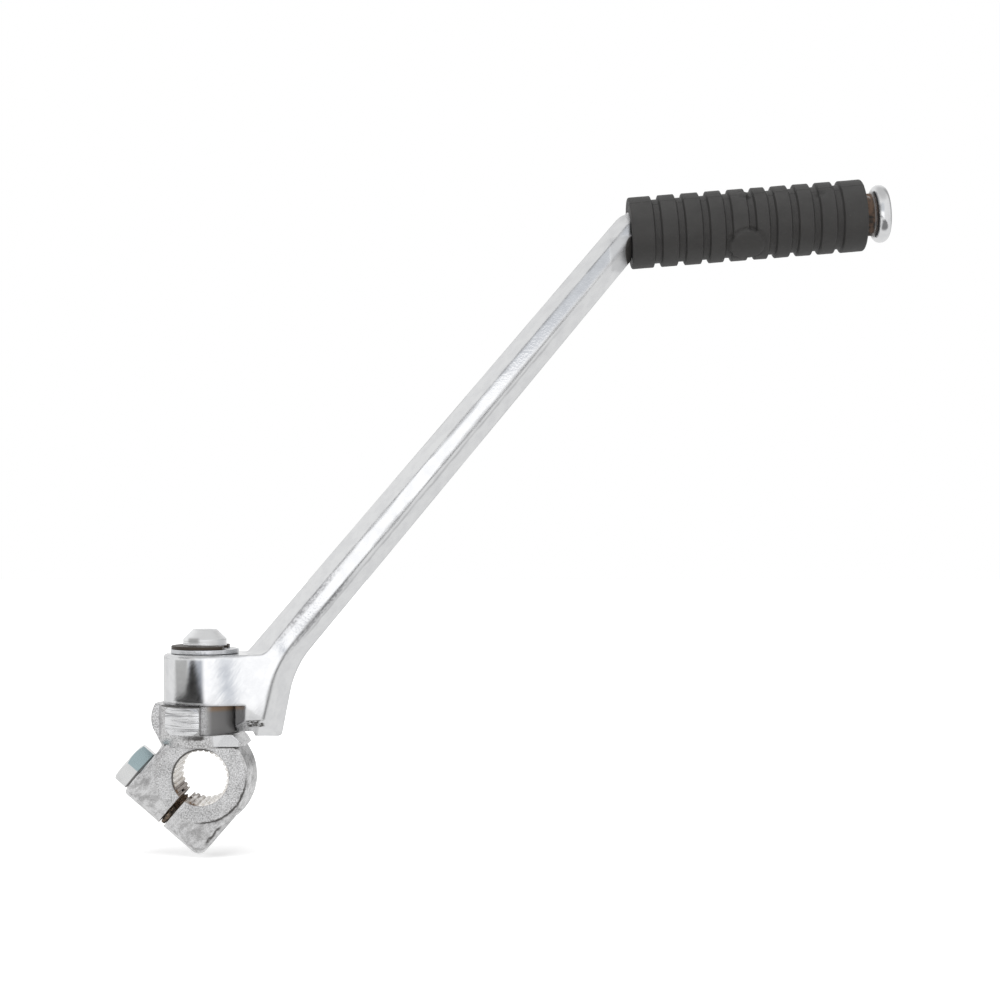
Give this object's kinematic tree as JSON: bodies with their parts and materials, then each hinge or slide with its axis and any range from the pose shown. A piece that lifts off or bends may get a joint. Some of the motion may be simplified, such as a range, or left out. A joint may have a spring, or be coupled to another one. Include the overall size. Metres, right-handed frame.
{
  "type": "kick start lever",
  "caption": "Folding kick start lever: splined split clamp with a pinch bolt, tapered forged arm on a pivot with a stop heel, and a ribbed rubber pedal.",
  "frame": {"origin": "where the kick shaft's axis crosses the lever's pivot axis, in the middle of the clamp's width", "axes": "+Y along the kick shaft, from the outer side to the machine; +Z along the pivot, from the clamp to the eye; +X from the pivot towards the pedal while the lever is folded"},
  "size_m": [0.2394, 0.0285, 0.2086],
  "materials": {
    "forged_chrome": "thin chrome over a sandy forged skin, with turned areas",
    "polished_chrome": "bright polished chrome",
    "pedal_rubber": "matt moulded rubber",
    "zinc_washer": "zinc plated",
    "black_spring_steel": "black oxide",
    "zinc_bolt": "bluish zinc plate",
    "ball_steel": "polished",
    "spring_steel": "drawn wire"
  },
  "bodies": {
    "joint": {"kick_joint": "forged_chrome", "pinch_bolt": "zinc_bolt", "thrust_washer": "zinc_washer", "retaining_ring": "black_spring_steel", "detent_spring": "spring_steel"},
    "lever": {"kick_lever": "polished_chrome", "pedal_rubber": "pedal_rubber"},
    "ball": {"detent_ball": "ball_steel"}
  },
  "joints": [
    {"name": "lever_fold", "type": "hinge", "parent": "joint", "child": "lever", "pos_m": [0, 0, 0.029], "axis": [0, 0, -1], "range_deg": [0, 52]},
    {"name": "ball_lift", "type": "slide", "parent": "joint", "child": "ball", "axis": [0, 0, 1], "range_m": [0, 0.0008], "stiffness_N_per_m": 1000, "deforming": ["detent_spring"]}
  ]
}
